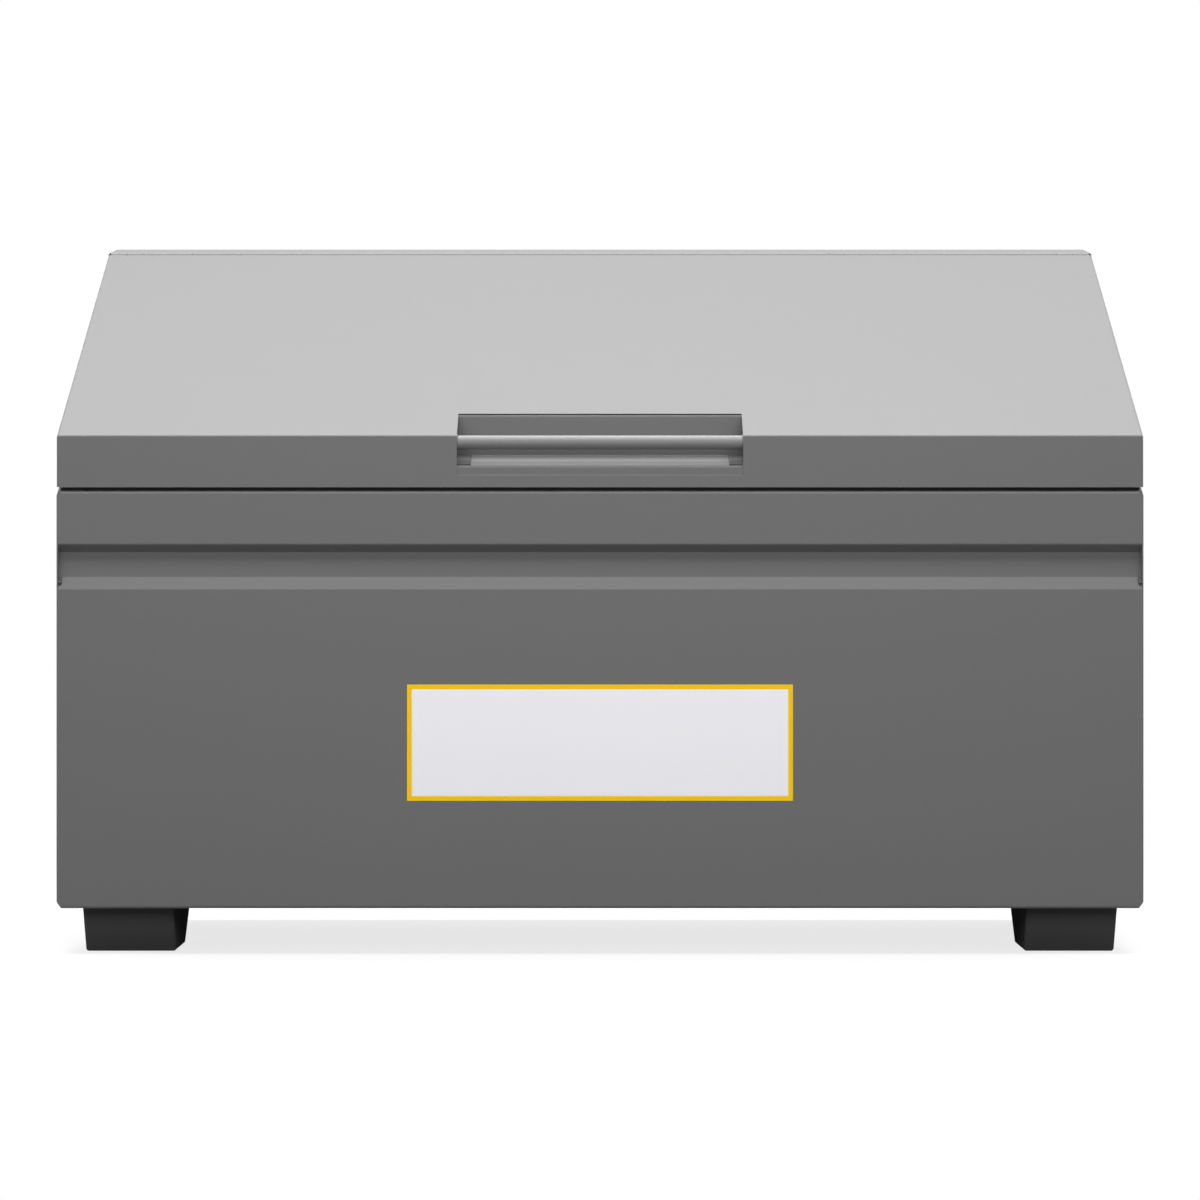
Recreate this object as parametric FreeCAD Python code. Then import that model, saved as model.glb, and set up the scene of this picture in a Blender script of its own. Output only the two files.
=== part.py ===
import FreeCAD, Part
import math
import os
from FreeCAD import Vector

# Jobsite storage box: a sheet-steel chest on four skid feet with a sloping, hinged lid.
# X runs along the width, Y from the front (-Y) to the back, Z up. The origin is on the floor
# under the middle of the box. All sizes are in millimetres.

os.makedirs("parts", exist_ok=True)

# ---------------------------------------------------------------- driving dimensions

# whole box
width = 1524.0               # over the side panels
depth = 762.0                # front panel to back panel
front_height = 729.0         # floor to the lid's front edge
rear_height = 1033.0         # floor to the lid's face over the hinge
hinge_setback = 25.0         # back panel to the lid's face over the hinge
foot_height = 65.9           # floor to the underside of the body

# sheet
sheet = 1.9
bend = 1.6                   # inside radius of a bend
rim_bend = 3.2               # inside radius of the side panels' rim bends
fit_gap = 0.1                # between a let-in piece and the sheet around it

# lid
lid_flange = 72.8            # height of the lid's front flange
lid_gap = 7.0                # height of the gap between lid and body
lid_lip = 20.0               # lip turned in along the flange's lower edge
lid_edge_gap = 4.3           # hinge to the edges of the sheets in front and behind
ear_gap = 2.0                # lid's rear edge to the side panels' ears

# handle pocket in the lid
pocket_width = 401.5
pocket_depth = 79.0          # front face to the pocket's back wall
pocket_cut_height = 672.7    # floor to the lower edge of the cut-out in the front flange
pocket_cut_back = 2.3        # pocket's back wall to the rear edge of the cut-out in the top
pocket_sill_height = 686.3   # floor to the front edge of the pocket's floor
pocket_floor_rise = 16.0
pocket_flange = 15.0
pocket_end_flange = 21.0     # end plates' feet on the pocket's floor
handle_bar_radius = 10.0
handle_bar_setback = 11.0    # front face to the bar's axis
handle_bar_drop = 9.8        # lid's front edge down to the bar's axis

# front panel
groove_lower = 513.6         # floor to the lower edge of the groove
groove_upper = 576.0         # floor to its upper edge
groove_depth = 14.0
groove_lower_rise = 16.8     # height of the slanting lower face
groove_upper_rise = 10.5     # height of the slanting upper face
bottom_flange = 25.0
corner_clip_x = 6.3          # slant along the lower side edges
corner_clip_z = 8.7

# rim
rim_flange = 40.0
rim_return = 12.0

# rear ledge
ledge_clip_x = 14.0          # slanting cut across each rear corner
ledge_clip_y = 22.0
ledge_clip_z = 28.0
ledge_channel_height = 45.0
ledge_channel_width = 14.0   # its flange under the hinge leaf

# floor
floor_joggle_lap = 10.0
floor_clearance = 1.0
floor_channel_offset = 110.0
floor_channel_base = 40.0
floor_channel_mouth = 56.0
floor_channel_height = 12.0
channel_lug = 16.0           # width of a channel's weld flanges
foot_clearance = 4.0         # floor channels' ends to the feet

# feet
foot_width = 127.8
foot_sheet = 3.0
foot_front_setback = 36.0    # body front to the top of the foot
foot_front_rake = 50.0
foot_rear_rake = 108.0
foot_sole = 155.0
foot_corner = 4.0            # outside radius of the pressed edges
front_foot_inset = 32.7      # body side to the front foot
rear_foot_inset = 0.0
caster_spacing_x = 66.7
caster_spacing_y = 92.1
caster_hole = 5.4            # radius

# corner angles
corner_leg = 35.0
rear_angle_drop = 120.0      # rear corner angle's top below the hinge axis
angle_clearance = 4.0

# piano hinge
hinge_sink = 2.6             # lid's face down to the hinge axis
knuckle_radius = 4.0
pin_radius = 2.0
pin_clearance = 0.05
leaf_thickness = 2.0
lid_leaf_width = 26.0
body_leaf_width = 21.0
leaf_relief = 0.8            # leaf edge to the other leaf's knuckles
knuckle_pitch = 25.0
knuckle_gap = 0.5
hinge_end_gap = 2.0

# lid channels
lid_channel_base = 44.0
lid_channel_mouth = 60.0
lid_channel_height = 26.0
lid_channel_end = 85.0       # lid side to the ends of the long channels
cross_channel_offset = 330.0
channel_gap = 2.0            # between a channel's lugs and what is welded beside them

# weather seal
seal_width = 12.0
seal_clearance = 0.5
seal_inset = 6.0             # rim's edge to the seal

# lock recesses
recess_front_setback = 42.0
recess_length = 105.0
recess_height_low = 503.2    # floor to the recess's floor
recess_depth = 72.0
recess_drop = 15.0           # rim to the recess's sloping top
lug_thickness = 4.0
lug_length = 36.0
lug_corner = 12.0            # radius of its lower corners
lug_inset = 24.0             # body side to the lug's outer face
lug_setback = 34.0           # recess front to the lug
lug_reach = 34.0             # below the recess's top
lug_foot = 30.0
lug_slot_forward = 14.0
lug_slot_clearance = 3.0
eye_gap = 1.5
shackle_radius = 6.0
shackle_drop = 19.0          # recess top to the shackle hole

# gas springs
strut_inset = 62.0           # body side to the springs' plane
strut_lid_reach = 80.0       # hinge axis along the lid to the upper pivot
strut_lid_drop = 34.0        # hinge axis to the upper pivot, square to the lid
strut_body_reach = 20.0      # hinge axis forward to the lower pivot
strut_body_drop = 300.0      # hinge axis down to the lower pivot
strut_tube_radius = 10.0
strut_tube_length = 178.0
strut_rod_radius = 4.0
strut_guide_gap = 0.05
strut_guide_length = 6.0     # closed end of the tube around the rod
strut_wall = 1.5
strut_end_room = 3.0         # rod's end to the tube's far end, shut
ball_radius = 5.0
ball_clearance = 0.2
ball_neck = 3.0
socket_radius = 8.0
socket_depth = 6.5           # ball centre to the socket's closed face
socket_mouth = 5.5           # ball centre to its open face
socket_neck = 12.0           # socket's round body to the end of its stem
socket_stem = 6.0            # radius of the stem
stud_collar_gap = 7.5        # ball centre to the stud's collar
stud_hex = 6.5               # collar's middle to its corners
stud_hex_length = 4.0
stud_shank = 4.0
stud_clearance = 0.2
slide_gap = 0.3              # upper stud to the lid bracket
bracket_sheet = 3.0
bracket_leg = 40.0
lid_bracket_leg = 20.0
bracket_height = 56.0
bracket_margin = 16.0        # beyond a pivot
nut_length = 5.0
stud_over = 1.5              # stud's tip beyond its nut
lid_open_angle = 90.0

# side handles
handle_height = 433.2        # floor to the handles' axis
bail_radius = 5.0
bail_clearance = 0.05
bail_standoff = 15.0         # body side to the handles' axis
bail_half_width = 66.0
bail_drop = 84.0
bail_bend = 14.0
grip_radius = 11.0
grip_length = 96.0
knuckle_block_length = 16.0
knuckle_block_radius = 10.0
bail_side_gap = 1.5          # bend to the knuckle block
handle_plate_sheet = 3.0
handle_plate_height = 70.0
handle_plate_side = 5.5      # knuckle block to the plate's edges
handle_plate_corner = 3.2
rivet_spacing = 48.0         # between the two rivets of a plate
rivet_radius = 3.2
rivet_head_radius = 6.4
rivet_head_height = 3.0
rivet_crown = 2.1            # rounding of the head
rivet_tail_radius = 5.1
rivet_clearance = 0.1

# label
label_length = 541.0
label_height = 163.0
label_middle = 298.2         # floor to the label's middle
label_band = 6.7
label_thickness = 0.2

# ---------------------------------------------------------------- worked out from them

side_x = width / 2
inner_x = side_x - sheet
front_y = -depth / 2
back_y = depth / 2
rear_y = back_y - hinge_setback
lid_run = rear_y - front_y
lid_rise = rear_height - front_height
pitch = math.atan2(lid_rise, lid_run)
lid_length = math.hypot(lid_run, lid_rise)
body_bottom = foot_height
rim_height = front_height - lid_flange - lid_gap
rim_w = -(lid_flange + lid_gap) * math.cos(pitch)
lip_w = -lid_flange * math.cos(pitch)
overshoot = 60.0             # how far a cutting tool runs past what it cuts, where there is room
margin = 1.0                 # and where there is little
same_place = 0.01            # places closer than this are one
lap = 15.0                   # how far shapes run into each other before they are joined
above = 2 * rear_height      # clear of everything


def slope(u, w):
    """World (y, z) of a point u along the lid's outer face from its front edge, w above it."""
    y = front_y + u * math.cos(pitch) - w * math.sin(pitch)
    z = front_height + u * math.sin(pitch) + w * math.cos(pitch)
    return (y, z)


axis_y, axis_z = slope(lid_length, -hinge_sink)


def rim(d, below):
    """World (y, z) of a point d along the rim from its front edge, square below the rim."""
    y = front_y + d * math.cos(pitch) + below * math.sin(pitch)
    z = rim_height + d * math.sin(pitch) - below * math.cos(pitch)
    return (y, z)


# ---------------------------------------------------------------- building blocks

PLANES = {
    "YZ": (lambda a, b, n: Vector(n, a, b), Vector(1, 0, 0)),
    "XZ": (lambda a, b, n: Vector(a, n, b), Vector(0, 1, 0)),
    "XY": (lambda a, b, n: Vector(a, b, n), Vector(0, 0, 1)),
}


def prism(points, plane, start, end):
    """Polygon in a plane, pushed from start to end along that plane's normal."""
    place, normal = PLANES[plane]
    corners = [place(a, b, start) for a, b in points]
    face = Part.Face(Part.makePolygon(corners + corners[:1]))
    return face.extrude(normal * (end - start))


def block(x0, x1, y0, y1, z0, z1):
    """Box between two corners."""
    return Part.makeBox(x1 - x0, y1 - y0, z1 - z0, Vector(x0, y0, z0))


def rod(start, end, radius):
    """Round bar between two points."""
    along = end - start
    return Part.makeCylinder(radius, along.Length, start, along)


def shifted_line(points, distance):
    """Open polyline moved to its right by distance, with mitred corners."""
    normals = []
    for (a0, b0), (a1, b1) in zip(points, points[1:]):
        length = math.hypot(a1 - a0, b1 - b0)
        normals.append(((b1 - b0) / length, -(a1 - a0) / length))
    moved = []
    for i, (a, b) in enumerate(points):
        before = normals[max(i - 1, 0)]
        after = normals[min(i, len(normals) - 1)]
        scale = distance / (1 + before[0] * after[0] + before[1] * after[1])
        moved.append((a + (before[0] + after[0]) * scale, b + (before[1] + after[1]) * scale))
    return moved


def turn_at(points, i):
    """Angle by which an open polyline turns left at its point i."""
    (a0, b0), (a1, b1), (a2, b2) = points[i - 1:i + 2]
    turn = math.atan2(b2 - b1, a2 - a1) - math.atan2(b1 - b0, a1 - a0)
    return math.atan2(math.sin(turn), math.cos(turn))


def rounded_line(points, radii):
    """Edges of an open polyline whose inner corners have the given radii."""
    spots = [Vector(a, b, 0) for a, b in points]
    edges = []
    here = spots[0]
    for i in range(1, len(spots) - 1):
        half = abs(turn_at(points, i)) / 2
        reach = radii[i] * math.tan(half)
        back = (spots[i - 1] - spots[i]).normalize()
        ahead = (spots[i + 1] - spots[i]).normalize()
        first = spots[i] + back * reach
        last = spots[i] + ahead * reach
        middle = spots[i] + (back + ahead).normalize() * (radii[i] / math.cos(half) - radii[i])
        edges.append((here, None, first))
        edges.append((first, middle, last))
        here = last
    edges.append((here, None, spots[-1]))
    return edges


def bent_sheet(points, plane, start, end, thickness=sheet, hand=1, radius=bend):
    """Folded sheet: one face follows the points, the metal is on their right (hand 1) or left."""
    other = shifted_line(points, thickness * hand)
    near_radii = [radius] * len(points)
    far_radii = [radius] * len(points)
    for i in range(1, len(points) - 1):
        if turn_at(points, i) * hand < 0:
            near_radii[i] = radius + thickness
        else:
            far_radii[i] = radius + thickness
    near = rounded_line(points, near_radii)
    far = [(c, m, a) for a, m, c in reversed(rounded_line(other, far_radii))]
    loop = near + [(near[-1][2], None, far[0][0])] + far + [(far[-1][2], None, near[0][0])]
    place, normal = PLANES[plane]
    edges = []
    for first, middle, last in loop:
        ends = [place(p.x, p.y, start) for p in (first, last)]
        if middle is None:
            edges.append(Part.LineSegment(ends[0], ends[1]).toShape())
        else:
            arc = Part.Arc(ends[0], place(middle.x, middle.y, start), ends[1])
            edges.append(arc.toShape())
    face = Part.Face(Part.Wire(edges))
    return face.extrude(normal * (end - start))


def joined(shapes):
    """One solid made of touching or overlapping shapes."""
    return shapes[0].fuse(shapes[1:]).removeSplitter()


def largest(shape):
    """The biggest solid of a shape, without the offcuts."""
    return max(shape.Solids, key=lambda solid: solid.Volume)


def on_slope(shape):
    """Shape drawn flat (Y along the lid from its front edge, Z above its face), set in place."""
    placed = shape.copy()
    placed.rotate(Vector(0, 0, 0), Vector(1, 0, 0), math.degrees(pitch))
    placed.translate(Vector(0, front_y, front_height))
    return placed


def mirrored(shape):
    """The same piece on the left side of the box."""
    return shape.mirror(Vector(0, 0, 0), Vector(1, 0, 0))


def hat_section(middle, level, base, mouth, height, down):
    """Points of a hat channel whose weld flanges lie at a level; its web stands off it."""
    web = level - height if down else level + height
    return [(middle - mouth / 2 - channel_lug, level), (middle - mouth / 2, level),
            (middle - base / 2, web), (middle + base / 2, web),
            (middle + mouth / 2, level), (middle + mouth / 2 + channel_lug, level)]


nodes = {}


def keep(name, *shapes):
    """Record one node made of one or more separate solids."""
    nodes[name] = shapes[0] if len(shapes) == 1 else Part.makeCompound(list(shapes))


# ---------------------------------------------------------------- lock recess outline

recess_y0 = front_y + recess_front_setback
recess_y1 = recess_y0 + recess_length


def level_at(y, below_rim):
    """World z of the plane a square distance below the rim, at y."""
    return rim_height + (y - front_y) * math.tan(pitch) - below_rim / math.cos(pitch)


def recess_outline(inset):
    """Outline of the lock recess, taken in all round by inset."""
    y0 = recess_y0 + inset
    y1 = recess_y1 - inset
    z0 = recess_height_low + inset
    top = recess_drop + inset
    return [(y0, z0), (y1, z0), (y1, level_at(y1, top)), (y0, level_at(y0, top))]


# ---------------------------------------------------------------- side panels

lid_back_y = rear_y - lid_edge_gap * math.cos(pitch)
ear_y = lid_back_y + ear_gap
ledge_top_back = rear_height + hinge_setback * math.tan(pitch)
wall_low = body_bottom + corner_clip_z
side_wall = prism([(front_y, wall_low + lap), (back_y, wall_low + lap), (back_y, ledge_top_back),
                   (ear_y, ledge_top_back - (back_y - ear_y) * math.tan(pitch)),
                   (ear_y, level_at(ear_y, lap)), (front_y, level_at(front_y, lap))],
                  "YZ", inner_x, side_x)
side_rim = on_slope(bent_sheet([(side_x - rim_flange, rim_w - rim_return),
                                (side_x - rim_flange, rim_w), (side_x, rim_w),
                                (side_x, rim_w - 2 * lap)],
                               "XZ", -overshoot, lid_length + overshoot, radius=rim_bend))
side_foot_bend = bent_sheet([(side_x, wall_low + 2 * lap), (side_x, wall_low),
                             (side_x - corner_clip_x, body_bottom),
                             (side_x - corner_clip_x - bottom_flange, body_bottom)],
                            "XZ", front_y, back_y)
rim_span = block(0, width, front_y, ear_y, 0, above)
# the front panel's rim bend runs on over the side rim's front end, as far as the side wall
front_bend_end = front_y + sheet + bend
front_bend_room = block(0, inner_x, front_y - margin, front_bend_end, 0, above)
side_rim = side_rim.common(rim_span).cut(front_bend_room)
side_panel = joined([side_wall, side_rim, side_foot_bend])

recess_cut = prism(recess_outline(0.0), "YZ", inner_x - overshoot, side_x + overshoot)
side_panel = side_panel.cut(recess_cut)

# slot in the rim for the lid's lug
lug_outer_x = side_x - lug_inset
lug_inner_x = lug_outer_x - lug_thickness
recess_front_u = ((recess_y0 - front_y) - (-rim_w) * math.sin(pitch)) / math.cos(pitch)
lug_u0 = recess_front_u + lug_setback
lug_u1 = lug_u0 + lug_length
lug_slot = on_slope(block(lug_inner_x - lug_slot_clearance, lug_outer_x + lug_slot_clearance,
                          lug_u0 - lug_slot_forward, lug_u1 + lug_slot_clearance,
                          rim_w - recess_drop - lap, rim_w + margin))
side_panel = side_panel.cut(lug_slot)

# oblique cut across the rear corner, and the little plate that closes it
clip_a = Vector(side_x - ledge_clip_x, back_y, ledge_top_back)
clip_b = Vector(side_x, back_y - ledge_clip_y, ledge_top_back - ledge_clip_y * math.tan(pitch))
clip_c = Vector(side_x, back_y, ledge_top_back - ledge_clip_z)
clip_out = (clip_c - clip_a).cross(clip_b - clip_a).normalize()
if clip_out.x < 0:
    clip_out = clip_out * -1
clip_middle = (clip_a + clip_b + clip_c) / 3


def clip_triangle(scale):
    """The corner cut's triangle, scaled about its middle."""
    spots = [clip_middle + (p - clip_middle) * scale for p in (clip_a, clip_b, clip_c)]
    return Part.Face(Part.makePolygon(spots + spots[:1]))


corner_cut = clip_triangle(2.0).extrude(clip_out * overshoot)
cap_zone = clip_triangle(2.0).extrude(clip_out * (overshoot + sheet))
cap_zone.translate(clip_out * -sheet)
side_panel = side_panel.cut(corner_cut)

# rivet holes for the drop handle
handle_half = bail_half_width + bail_bend + bail_side_gap + knuckle_block_length / 2
rivet_spots = [(y, handle_height + dz) for y in (-handle_half, handle_half)
               for dz in (-rivet_spacing / 2, rivet_spacing / 2)]
for y, z in rivet_spots:
    hole = rod(Vector(inner_x - margin, y, z), Vector(side_x + margin, y, z),
               rivet_radius + rivet_clearance)
    side_panel = side_panel.cut(hole)
keep("side_panel_right", side_panel)
side_panel_left = mirrored(side_panel)
keep("side_panel_left", side_panel_left)

# ---------------------------------------------------------------- front panel

front_line = [(front_y + bottom_flange, body_bottom), (front_y, body_bottom),
              (front_y, groove_lower), (front_y + groove_depth, groove_lower + groove_lower_rise),
              (front_y + groove_depth, groove_upper - groove_upper_rise), (front_y, groove_upper),
              (front_y, rim_height), rim(rim_flange, 0.0), rim(rim_flange, rim_return)]
front_panel = bent_sheet(front_line, "YZ", -inner_x, inner_x)
# behind its bend the rim flange ends beside the side panels' rims, and its upper corners follow
# their bends
rim_corner = on_slope(block(side_x - rim_flange - sheet, side_x, -overshoot, 2 * overshoot,
                            rim_w - rim_return - margin, rim_w + margin))
behind_front = block(0, width, front_bend_end, 0, 0, above)
front_corner = rim_corner.common(behind_front)
rim_clip = rim_bend + sheet
corner_clip = prism([(side_x, rim_height - rim_clip), (side_x, rim_height + margin),
                     (side_x - rim_clip, rim_height + margin), (side_x - rim_clip, rim_height)],
                    "XZ", front_y - margin, front_y + rim_clip)
for tool in (side_panel, side_panel_left, front_corner, mirrored(front_corner),
             corner_clip, mirrored(corner_clip)):
    front_panel = front_panel.cut(tool)
keep("front_panel", largest(front_panel))

# ---------------------------------------------------------------- back panel and its ledge

back_line = [slope(lid_length + lid_edge_gap, 0.0), (back_y, ledge_top_back),
             (back_y, body_bottom), (back_y - bottom_flange, body_bottom)]
back_panel = bent_sheet(back_line, "YZ", -inner_x, inner_x)
for tool in (side_panel, side_panel_left, corner_cut, mirrored(corner_cut)):
    back_panel = back_panel.cut(tool)
back_panel = largest(back_panel)
keep("back_panel", back_panel)

corner_cap = clip_triangle(1.0).extrude(clip_out * -sheet)
corner_cap = largest(corner_cap.cut(side_panel).cut(back_panel))
keep("rear_corner_caps", corner_cap, mirrored(corner_cap))

# box section that stiffens the ledge, welded to the back panel
leaf_start = knuckle_radius + leaf_relief
leaf_w = -(sheet + leaf_thickness)
channel_front = slope(lid_length + leaf_start, leaf_w)
channel_low = channel_front[1] - ledge_channel_height
ledge_line = [slope(lid_length + leaf_start + ledge_channel_width, leaf_w), channel_front,
              (channel_front[0], channel_low), (back_y - 2 * sheet, channel_low),
              (back_y - 2 * sheet, channel_low - channel_lug)]
ledge_channel_x = inner_x - ledge_clip_x - sheet
keep("ledge_channel", bent_sheet(ledge_line, "YZ", -ledge_channel_x, ledge_channel_x, hand=-1))

# ---------------------------------------------------------------- floor

# the middle drops between the body's bottom flanges, and the edge laps over them
pan_x = side_x - corner_clip_x - bottom_flange - 2 * floor_clearance
pan_y = back_y - bottom_flange - 2 * floor_clearance
edge_x = side_x - corner_clip_x - sheet - floor_clearance
edge_y = back_y - sheet - bend - floor_clearance
pan_top = body_bottom + sheet
pan = block(-pan_x, pan_x, -pan_y, pan_y, body_bottom, pan_top)
edge = block(-edge_x, edge_x, -edge_y, edge_y, pan_top, pan_top + sheet)
inside_x = pan_x - floor_joggle_lap
inside_y = pan_y - floor_joggle_lap
edge = edge.cut(block(-inside_x, inside_x, -inside_y, inside_y, body_bottom, above))
keep("floor_panel", joined([pan, edge]))

channel_x = side_x - front_foot_inset - foot_width - foot_clearance
floor_channels = []
for y in (-floor_channel_offset, floor_channel_offset):
    line = hat_section(y, body_bottom, floor_channel_base, floor_channel_mouth,
                       floor_channel_height, True)
    floor_channels.append(bent_sheet(line, "YZ", -channel_x, channel_x))
keep("floor_channels", *floor_channels)


# ---------------------------------------------------------------- feet

def foot_outline(inset):
    """Side outline of a front foot, taken in by inset on its slants and sole."""
    y0 = front_y + foot_front_setback
    y1 = y0 + foot_front_rake
    y2 = y1 + foot_sole
    y3 = y2 + foot_rear_rake
    line = [(y0, foot_height), (y1, 0.0), (y2, 0.0), (y3, foot_height)]
    return shifted_line(line, -inset) if inset else line


def foot(inset_from_side):
    """One pressed foot: a pan with slanting ends, open on top, with four caster holes."""
    x1 = side_x - inset_from_side
    x0 = x1 - foot_width
    outer = prism(foot_outline(0.0), "YZ", x0, x1)
    low_edges = [e for e in outer.Edges if e.BoundBox.ZMin < foot_height - margin]
    outer = outer.makeFillet(foot_corner, low_edges)
    line = foot_outline(foot_sheet)
    (a0, b0), (a1, b1), (a2, b2), (a3, b3) = line
    rise_front = foot_front_rake / foot_height * foot_sheet
    rise_rear = foot_rear_rake / foot_height * foot_sheet
    line = [(a0 - rise_front, b0 + foot_sheet), (a1, b1), (a2, b2), (a3 + rise_rear, b3 + foot_sheet)]
    inner = prism(line, "YZ", x0 + foot_sheet, x1 - foot_sheet)
    low_edges = [e for e in inner.Edges if e.BoundBox.ZMin < foot_height - margin]
    inner = inner.makeFillet(foot_corner - foot_sheet, low_edges)
    pan = outer.cut(inner)
    sole_y = front_y + foot_front_setback + foot_front_rake + foot_sole / 2
    for dx in (-caster_spacing_x / 2, caster_spacing_x / 2):
        for dy in (-caster_spacing_y / 2, caster_spacing_y / 2):
            spot = Vector((x0 + x1) / 2 + dx, sole_y + dy, -margin)
            pan = pan.cut(rod(spot, spot + Vector(0, 0, foot_sheet + 2 * margin), caster_hole))
    return pan


front_foot = foot(front_foot_inset)
rear_foot = foot(rear_foot_inset).mirror(Vector(0, 0, 0), Vector(0, 1, 0))
keep("foot_front_right", front_foot)
keep("foot_front_left", mirrored(front_foot))
keep("foot_rear_right", rear_foot)
keep("foot_rear_left", mirrored(rear_foot))

# ---------------------------------------------------------------- corner angles

angle_low = body_bottom + corner_clip_z + 2 * sheet + angle_clearance
front_angle_top = min(groove_lower, recess_height_low) - angle_clearance
rear_angle_top = axis_z - rear_angle_drop
front_angle = bent_sheet([(inner_x - corner_leg, front_y + sheet), (inner_x, front_y + sheet),
                          (inner_x, front_y + sheet + corner_leg)],
                         "XY", angle_low, front_angle_top, hand=-1)
rear_angle = bent_sheet([(inner_x, back_y - sheet - corner_leg), (inner_x, back_y - sheet),
                         (inner_x - corner_leg, back_y - sheet)],
                        "XY", angle_low, rear_angle_top, hand=-1)
keep("corner_angles", front_angle, mirrored(front_angle), rear_angle, mirrored(rear_angle))

# ---------------------------------------------------------------- piano hinge

hinge_half = inner_x - hinge_end_gap
knuckle_count = int(2 * hinge_half / knuckle_pitch)
knuckle_step = 2 * hinge_half / knuckle_count


def hinge_leaf(first, reach):
    """One leaf, drawn flat: its plate runs towards reach, with every second knuckle."""
    sense = 1 if reach > 0 else -1
    near, far = sorted((sense * leaf_start, reach))
    pieces = [block(-hinge_half, hinge_half, near, far, leaf_w, -sheet)]
    for i in range(first, knuckle_count, 2):
        x0 = -hinge_half + i * knuckle_step + knuckle_gap / 2
        x1 = x0 + knuckle_step - knuckle_gap
        pieces.append(rod(Vector(x0, 0, -hinge_sink), Vector(x1, 0, -hinge_sink), knuckle_radius))
        near, far = sorted((0.0, sense * leaf_start))
        pieces.append(block(x0, x1, near, far, leaf_w, -sheet))
    bore = rod(Vector(-width, 0, -hinge_sink), Vector(width, 0, -hinge_sink),
               pin_radius + pin_clearance)
    leaf = joined(pieces).cut(bore)
    leaf.translate(Vector(0, lid_length, 0))
    return on_slope(leaf)


hinge_leaf_body = hinge_leaf(0, body_leaf_width).cut(cap_zone).cut(mirrored(cap_zone))
keep("hinge_leaf_body", hinge_leaf_body)
keep("hinge_leaf_lid", hinge_leaf(1, -lid_leaf_width))
keep("hinge_pin", rod(Vector(-hinge_half, axis_y, axis_z), Vector(hinge_half, axis_y, axis_z),
                      pin_radius))

# ---------------------------------------------------------------- lid skin


def lid_form(inset, low_w):
    """Space under the lid: its outside when inset is 0, its inside when inset is the sheet."""
    tan_front = math.tan(pitch)
    back_u = lid_length + lid_flange
    top_w = -inset
    front_top_u = inset / math.cos(pitch) + top_w * tan_front
    front_low_u = inset / math.cos(pitch) + low_w * tan_front
    outline = [(front_low_u, low_w), (front_top_u, top_w), (back_u, top_w), (back_u, low_w)]
    form = prism(outline, "YZ", -side_x + inset, side_x - inset)
    edges = []
    for e in form.Edges:
        box = e.BoundBox
        on_top = box.ZMin > top_w - same_place
        at_back = box.YMin > back_u - same_place
        front_upright = box.YMax < front_top_u + same_place and not on_top and box.XLength < same_place
        if (on_top and not at_back) or front_upright:
            edges.append(e)
    return form.makeFillet(bend + sheet - inset, edges)


lid_shell = lid_form(0.0, lip_w).cut(lid_form(sheet, lip_w - margin))
lip_hole_front = lip_w * math.tan(pitch) + lid_lip / math.cos(pitch)
lip_hole = block(-side_x + lid_lip, side_x - lid_lip, lip_hole_front, 2 * lid_length,
                 lip_w - margin, 0)
above_lip = block(-width, width, -lid_length, 2 * lid_length, lip_w + sheet, overshoot)
lid_lips = lid_form(0.0, lip_w).cut(above_lip).cut(lip_hole)
lid_span = block(-width, width, front_y - margin, lid_back_y, 0, above)
lid_skin = on_slope(joined([lid_shell, lid_lips])).common(lid_span)

# cut-out for the handle pocket, square to the sheet in the top and in the front flange
pocket_half = pocket_width / 2
pocket_back_y = front_y + pocket_depth
pocket_cut_u = (pocket_depth + pocket_cut_back - sheet * math.sin(pitch)) / math.cos(pitch)
top_cut = on_slope(block(-pocket_half, pocket_half, -overshoot, pocket_cut_u,
                         -sheet - margin, overshoot))
flange_cut = block(-pocket_half, pocket_half, front_y - margin, front_y + 2 * sheet + bend,
                   pocket_cut_height, rear_height)
keep("lid_skin", lid_skin.cut(top_cut).cut(flange_cut))

# ---------------------------------------------------------------- handle pocket and bar


def lid_under(y, below=0.0):
    """World z of the lid's inner face at y, or square below it."""
    return front_height + (y - front_y) * math.tan(pitch) - (sheet + below) / math.cos(pitch)


pocket_front_y = front_y + sheet
pocket_low = rim_height + lid_gap + sheet + fit_gap + 2 * bend
pocket_line = [(pocket_front_y, pocket_low), (pocket_front_y, pocket_sill_height),
               (pocket_back_y, pocket_sill_height + pocket_floor_rise),
               (pocket_back_y, lid_under(pocket_back_y)),
               (pocket_back_y + pocket_flange * math.cos(pitch),
                lid_under(pocket_back_y + pocket_flange * math.cos(pitch)))]
handle_pocket = bent_sheet(pocket_line, "YZ", -pocket_half, pocket_half)
keep("handle_pocket", handle_pocket)

# end plates: upright webs beside the pocket, with feet turned inwards on its floor
floor_pitch = math.degrees(math.atan2(pocket_floor_rise, pocket_back_y - pocket_front_y))
end_x = pocket_half + sheet
end_angle = bent_sheet([(end_x, 2 * pocket_depth), (end_x, 0.0), (end_x - pocket_end_flange, 0.0)],
                       "XZ", -pocket_depth, 2 * pocket_depth)
end_angle.rotate(Vector(0, 0, 0), Vector(1, 0, 0), floor_pitch)
end_angle.translate(Vector(0, pocket_front_y, pocket_sill_height))
end_low = pocket_sill_height - 2 * sheet
end_side = prism([(pocket_front_y, end_low),
                  (pocket_back_y + sheet, end_low + pocket_floor_rise),
                  (pocket_back_y + sheet, lid_under(pocket_back_y + sheet)),
                  (pocket_front_y + bend, lid_under(pocket_front_y + bend)),
                  (pocket_front_y, lid_under(pocket_front_y) - bend)],
                 "YZ", 0, width)
end_plate = end_angle.common(end_side)
end_relief = sheet + bend
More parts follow.
